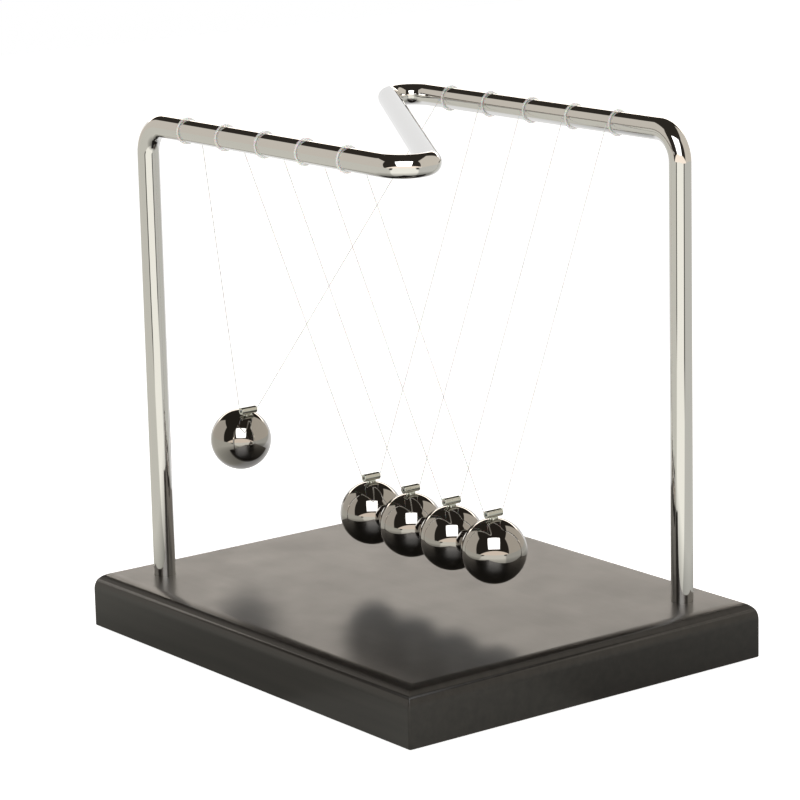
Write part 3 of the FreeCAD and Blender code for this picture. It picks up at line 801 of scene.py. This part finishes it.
def make_room():
    """The room round the table, by direction: dark in front, overhead and high behind, warm grey cards on
    both sides, a low bright backdrop, and a low warm card in front. It is white where it is seen directly."""
    world = bpy.data.worlds.new("room")
    bpy.context.scene.world = world
    world.use_nodes = True
    tree = world.node_tree
    tree.nodes.clear()
    way = add_node(tree, "ShaderNodeTexCoord").outputs["Generated"]
    turn, rise = direction_parts(tree, way)
    up = add_node(tree, "ShaderNodeSeparateXYZ", {0: way}).outputs["Z"]
    aside = size_of(tree, turn)
    behind = above(tree, aside, 146, 4)

    def card(under, colour, strength, middle, height, near_edge, far_edge):
        """An upright card whose middle lies at an angle from the front. Its top stands height times as high
        as it is far, and its two ends are 1 inside each of the covers given."""
        facing = math.radians(middle)
        normal = CAMERA_SIDE * math.cos(facing) + CAMERA_RIGHT * math.sin(facing)
        ahead = add_node(tree, "ShaderNodeVectorMath", {0: way, 1: normal * height}, operation="DOT_PRODUCT")
        over = add_node(tree, "ShaderNodeMath", {0: up, 1: ahead.outputs["Value"]}, operation="SUBTRACT")
        cover = both(tree, below(tree, over.outputs[0], 0, 1), both(tree, near_edge, far_edge))
        return layer(tree, under, colour, strength, cover)

    def leaning(lean):
        """The angle round from the front, plus a share of the angle up, for an edge that leans."""
        return add_node(tree, "ShaderNodeMath", {0: rise, 1: lean, 2: turn},
                        operation="MULTIPLY_ADD").outputs[0]

    light = card(linear("#332f2a"), "#b9b3aa", strength=1.45, middle=-100.5, height=1.0,
                 near_edge=below(tree, leaning(0.28), -64.8, 1),
                 far_edge=above(tree, leaning(-0.73), -155.6, 2))
    light = card(light, "#bfb8ad", strength=1.4, middle=100, height=1.455,
                 near_edge=above(tree, leaning(-0.12), 51, 1), far_edge=below(tree, turn, 142, 2))
    # behind: a bright strip over a paler backdrop
    light = layer(tree, light, "#fff4e6", 4.2, both(tree, behind, below(tree, rise, 17, 2)))
    light = layer(tree, light, "#fafafa", 0.95, both(tree, behind, below(tree, rise, 12, 1.5)))
    # the low card's top falls away to both sides with the square of the angle
    fall, top = -0.35, math.radians(14)
    crest = add_node(tree, "ShaderNodeMath", {0: both(tree, turn, turn), 1: fall, 2: top},
                     operation="MULTIPLY_ADD").outputs[0]
    over_crest = add_node(tree, "ShaderNodeMath", {0: rise, 1: crest}, operation="SUBTRACT").outputs[0]
    light = layer(tree, light, "#fff0e0", 1.3,
                  both(tree, below(tree, over_crest, 0, 0.8), below(tree, aside, 62, 1)))
    path = add_node(tree, "ShaderNodeLightPath")
    seen = add_node(tree, "ShaderNodeMix", {"Factor": path.outputs["Is Camera Ray"], "A": light,
                                            "B": (1, 1, 1, 1)}, data_type="RGBA").outputs["Result"]
    background = add_node(tree, "ShaderNodeBackground", {"Color": seen, "Strength": 1.0})
    add_node(tree, "ShaderNodeOutputWorld", {"Surface": background.outputs[0]})


def make_softbox():
    """A square softbox above and in front of the object, aimed at it."""
    light = bpy.data.lights.new("softbox", "AREA")
    light.shape = "SQUARE"
    distance, size, radiance, aim_height = 0.9, 0.66, 3.2, 0.06
    light.size = size
    light.energy = radiance * math.pi * size ** 2
    softbox = bpy.data.objects.new("softbox", light)
    bpy.context.collection.objects.link(softbox)
    rise = math.radians(38)
    away = CAMERA_SIDE * math.cos(rise) + Vector((0, 0, math.sin(rise)))
    softbox.location = away * distance + Vector((0, 0, aim_height))
    softbox.rotation_euler = away.to_track_quat("Z", "Y").to_euler()


make_floor()
make_room()
make_softbox()
bpy.context.scene.view_settings.view_transform = "Standard"
